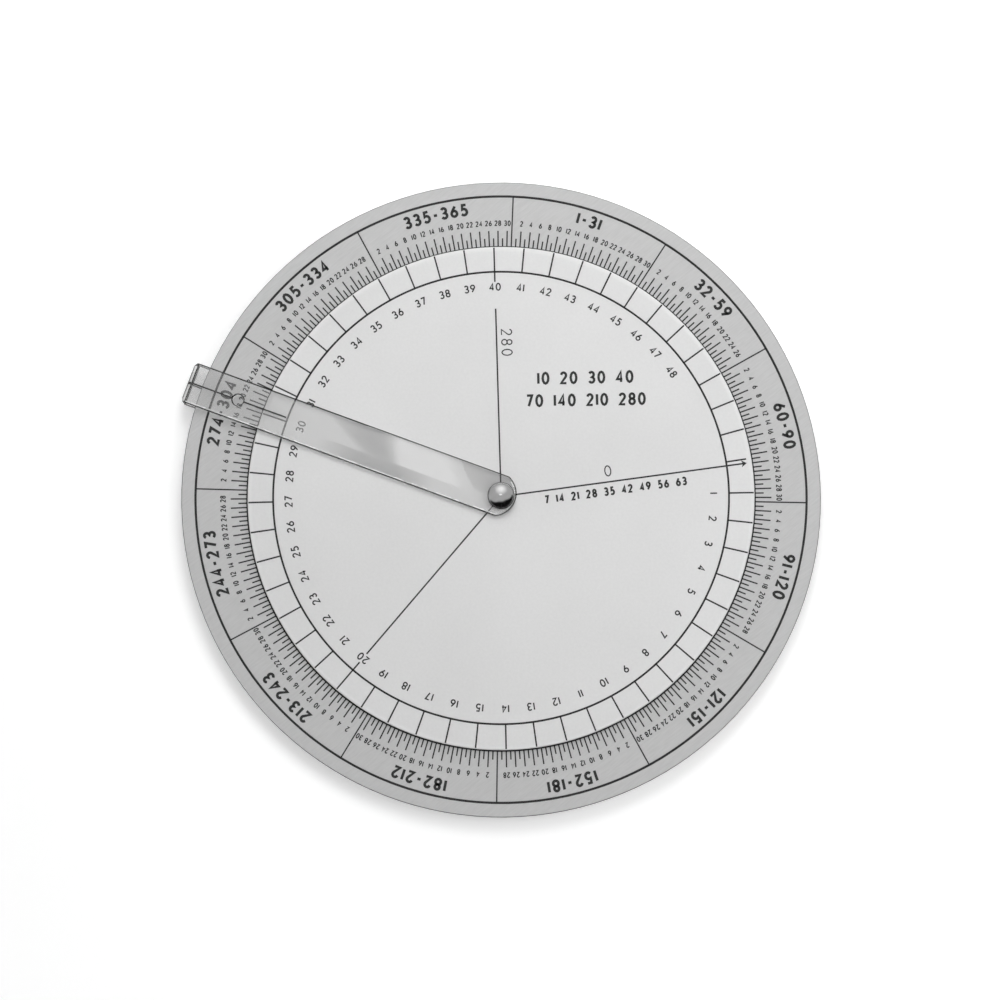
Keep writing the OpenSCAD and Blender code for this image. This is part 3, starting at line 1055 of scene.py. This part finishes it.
def polished_dome():
    """The domed half of the rivet, with its pin and a softened edge."""
    rise = DOME_HIGH.z - (SHOULDER_Z + DOME_EDGE)
    cap_r = (DOME_R ** 2 + rise ** 2) / (2 * rise)
    cap_z = DOME_HIGH.z - cap_r
    edge_turn = math.degrees(math.asin(DOME_R / cap_r))
    cap_turns = [math.radians(edge_turn * (1 - i / DOME_CAP_STEPS)) for i in range(DOME_CAP_STEPS)]
    cap = [(cap_r * math.sin(turn), cap_z + cap_r * math.cos(turn)) for turn in cap_turns]
    edge_low = SHOULDER_Z + DOME_EDGE_ROUND
    lower_round = [(DOME_R - DOME_EDGE_ROUND * (1 - math.sin(turn)),
                    edge_low - DOME_EDGE_ROUND * math.cos(turn))
                   for turn in map(math.radians, DOME_EDGE_TURNS)]
    pin = [(0, DOME_LOW.z), (PIN_R, DOME_LOW.z), (PIN_R, SHOULDER_Z)]
    profile = [*pin, *lower_round, *cap, (0, DOME_HIGH.z)]
    return turned_solid("polished_dome", profile, DOME_CHROME)


# The stage

FLOOR_REACH = 8.0
FLOOR_DROP = 0.05 * MM
FLOOR_GREY = 0.8
FLOOR_GLOW = 0.35
GLOW_SIDES = 48
SOUTH = (0.24, -0.97, 0)

# Cards that the arm's face mirrors as soft slanting streaks: each one's name, strength and height,
# and the corners of its core and its border, along and across the arm in millimetres
ARM_CARDS = (
    ("base_card", 1.4, 1.10, [(-24, -18), (94, -18), (94, 18), (-24, 18)],
     [(-25, -19), (95, -19), (95, 19), (-25, 19)]),
    ("body_card", 2.6, 1.095, [(-24, -18), (50, -18), (50, 18), (-24, 18)],
     [(-25, -19), (66, -19), (66, 19), (-25, 19)]),
    ("bright_card", 4.0, 1.09, [(30, -7), (18, -7), (11, 1.4), (25.5, 1.4)],
     [(33.2, -9), (12, -9), (6, 1.7), (28.8, 1.7)]),
    ("wedge_card", 0.0, 1.085, [(38.4, -7), (33.2, -7), (28.8, 1.3), (30.7, 1.3)],
     [(53, -9), (29, -9), (24.2, 1.6), (35, 1.6)]),
    ("strip_card", 0.0, 1.08, [(34, 1.7), (26.5, 1.7), (22.5, 7), (34, 7)],
     [(44.5, 1.4), (17, 1.4), (11, 9), (44.5, 9)]),
    ("heel_card", 0.7, 1.085, [(14, -7), (-15, -7), (-15, -0.8), (7, -0.8)],
     [(15.6, -9), (-17, -9), (-17, 1.2), (6.3, 1.2)]),
)


def show(tree, shader):
    """Gives a bare material its surface."""
    add_node(tree, "ShaderNodeOutputMaterial", {"Surface": shader.outputs[0]})


def floor():
    """A pale table top that shows white and keeps the wheel's shadow."""
    bm = bmesh.new()
    bmesh.ops.create_grid(bm, x_segments=1, y_segments=1, size=FLOOR_REACH)
    mesh = mesh_from_bmesh("table_top", bm)
    mesh.transform(Matrix.Translation((0, 0, -FLOOR_DROP)))
    material, tree = bare_material("table_top")
    rays = add_node(tree, "ShaderNodeLightPath").outputs
    seen = calculate(tree, "MAXIMUM", rays["Is Camera Ray"], rays["Is Glossy Ray"])
    seen = calculate(tree, "MAXIMUM", seen, rays["Is Transmission Ray"])
    strength = calculate(tree, "MULTIPLY", seen, FLOOR_GLOW)
    diffuse = add_node(tree, "ShaderNodeBsdfDiffuse", {"Color": (*grey(FLOOR_GREY), 1)})
    glow = add_node(tree, "ShaderNodeEmission", {"Strength": strength})
    show(tree, add_node(tree, "ShaderNodeAddShader", {0: diffuse.outputs[0], 1: glow.outputs[0]}))
    link_mesh("table_top", mesh, material)


def studio_world():
    """A bright even room with a dark side low in the south."""
    world = bpy.data.worlds.new("studio")
    bpy.context.scene.world = world
    world.use_nodes = True
    tree = world.node_tree
    way = coordinates(tree, "Generated")
    height = add_node(tree, "ShaderNodeSeparateXYZ", {"Vector": way}).outputs["Z"]
    level = add_node(tree, "ShaderNodeVectorMath", {0: flattened(tree, way)}, operation="NORMALIZE")
    facing = add_node(tree, "ShaderNodeVectorMath", {0: level.outputs["Vector"], 1: SOUTH},
                      operation="DOT_PRODUCT")
    south = facing.outputs["Value"]
    dark_top = smooth_step(tree, south, start=0.05, end=0.95, high=0.46)
    under_top = smooth_step(tree, calculate(tree, "SUBTRACT", height, dark_top),
                            start=0.28, end=0.44, low=1, high=0)
    off_ground = smooth_step(tree, height, start=0.1, end=0.22)
    low = calculate(tree, "MULTIPLY", under_top, off_ground)
    side = smooth_step(tree, south, start=-0.05, end=0.2)
    dark = calculate(tree, "MULTIPLY", side, low)
    room = smooth_step(tree, dark, start=0, end=1, low=0.41, high=0)
    horizon = smooth_step(tree, height, start=0, end=0.2, low=0.4)
    wire(tree, tree.nodes["Background"], {
        "Color": (1, 1, 1, 1), "Strength": calculate(tree, "MULTIPLY", room, horizon)})


def soft_light(name, place, radius, strength, mirrored=False):
    """A round glow that fades to its edge and hides nothing behind it."""
    bm = bmesh.new()
    bmesh.ops.create_circle(bm, cap_ends=True, segments=GLOW_SIDES, radius=radius)
    material, tree = bare_material(name)
    reach = length(tree, coordinates(tree))
    fade = smooth_step(tree, reach, start=0, end=radius, low=strength, high=0)
    clear = add_node(tree, "ShaderNodeBsdfTransparent")
    glow = add_node(tree, "ShaderNodeEmission", {"Strength": fade})
    show(tree, add_node(tree, "ShaderNodeAddShader", {0: clear.outputs[0], 1: glow.outputs[0]}))
    light = link_mesh(name, mesh_from_bmesh(name, bm), material)
    light.location = place
    light.rotation_euler = (ORIGIN - Vector(place)).to_track_quat("Z", "Y").to_euler()
    light.visible_camera = False
    light.visible_glossy = mirrored


def camera_place():
    tilt = math.radians(CAMERA_TILT)
    away = Vector((0, -math.sin(tilt), math.cos(tilt)))
    return Vector((*CAMERA_SHIFT, CALENDAR_TOP)) + CAMERA_DISTANCE * away


def card_glow(name, strength):
    """A glow that covers what is behind it as far as the card's cover says."""
    material, tree = bare_material(name)
    cover = add_node(tree, "ShaderNodeAttribute", attribute_name=COVER)
    clear = add_node(tree, "ShaderNodeBsdfTransparent")
    glow = add_node(tree, "ShaderNodeEmission", {"Strength": strength})
    show(tree, add_node(tree, "ShaderNodeMixShader", {
        "Fac": cover.outputs["Fac"], 1: clear.outputs[0], 2: glow.outputs[0]}))
    return material


def mirrored_place(along, across, height):
    """Where the camera sees a point at some height mirrored in the arm's face."""
    eye = camera_place()
    turn = Matrix.Rotation(math.radians(CURSOR_ANGLE), 4, "Z")
    face_point = turn @ Vector((along * MM, across * MM, CURSOR_HIGH.z))
    away = face_point - eye
    reach = (height - face_point.z) / (eye.z - face_point.z)
    return face_point.x + away.x * reach, face_point.y + away.y * reach, height


def arm_reflections():
    """The cards overhead, at full strength inside each core and fading to nothing at its border."""
    for name, strength, height, core, border in ARM_CARDS:
        bm = bmesh.new()
        cover = bm.verts.layers.float.new(COVER)
        inner = [bm.verts.new(mirrored_place(*corner, height)) for corner in core]
        outer = [bm.verts.new(mirrored_place(*corner, height)) for corner in border]
        for vert in inner:
            vert[cover] = 1.0
        bm.faces.new(inner)
        for i in range(len(inner)):
            bm.faces.new((inner[i - 1], inner[i], outer[i], outer[i - 1]))
        card = link_mesh(name, mesh_from_bmesh(name, bm), card_glow(name, strength))
        card.visible_camera = False


def camera():
    """The photograph's view: from the south, nearly overhead, with a long lens."""
    data = bpy.data.cameras.new("view")
    data.sensor_width = SENSOR_MM
    data.lens = SENSOR_MM * CAMERA_DISTANCE / (FRAME_PX / PX_PER_MM * MM)
    obj = bpy.data.objects.new("view", data)
    obj.location = camera_place()
    obj.rotation_euler = (math.radians(CAMERA_TILT), 0, 0)
    bpy.context.scene.collection.objects.link(obj)
    bpy.context.scene.camera = obj


camera()
floor()
studio_world()
soft_light("north_sky", (0, 0.9, 0.95), radius=1.1, strength=0.62, mirrored=True)
soft_light("north_light", (0.02, 0.29, 0.29), radius=0.22, strength=6.2)
soft_light("east_light", (0.30, -0.02, 0.30), radius=0.22, strength=3.4)
soft_light("south_light", (-0.08, -0.45, 0.12), radius=0.22, strength=4.5)
arm_reflections()
bpy.context.scene.view_settings.view_transform = "Standard"

# Finishes of the solids that show as they are
for node, material in (("calendar_disc", CALENDAR_ALUMINIUM), ("week_disc", DIAL_ENAMEL),
                       ("pivot_post", POST_NICKEL), ("tension_washer", SPRING_STEEL),
                       ("cursor_slip_washer", SLIP_PLASTIC), ("dial_slip_washer", SLIP_PLASTIC),
                       ("back_slip_washer", SLIP_PLASTIC)):
    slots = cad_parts[node].data.materials
    slots.clear()
    slots.append(material)

# Pieces that the scene adds, and the body that each rides on
for piece, body, slot in ((year_scale_lines(), "base", "scale_ink"),
                          (calendar_numbers(), "base", "scale_ink"),
                          (week_scale_lines(), "week_dial", "scale_ink"),
                          (dial_numbers(), "week_dial", "scale_ink"),
                          (hairline_ink(), "cursor_arm", "scale_ink")):
    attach(piece, body)

cursor = folded_cursor()
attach(cursor, "cursor_arm")
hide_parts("cursor")

dome = polished_dome()
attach(dome, "base")
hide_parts("dome_rivet")
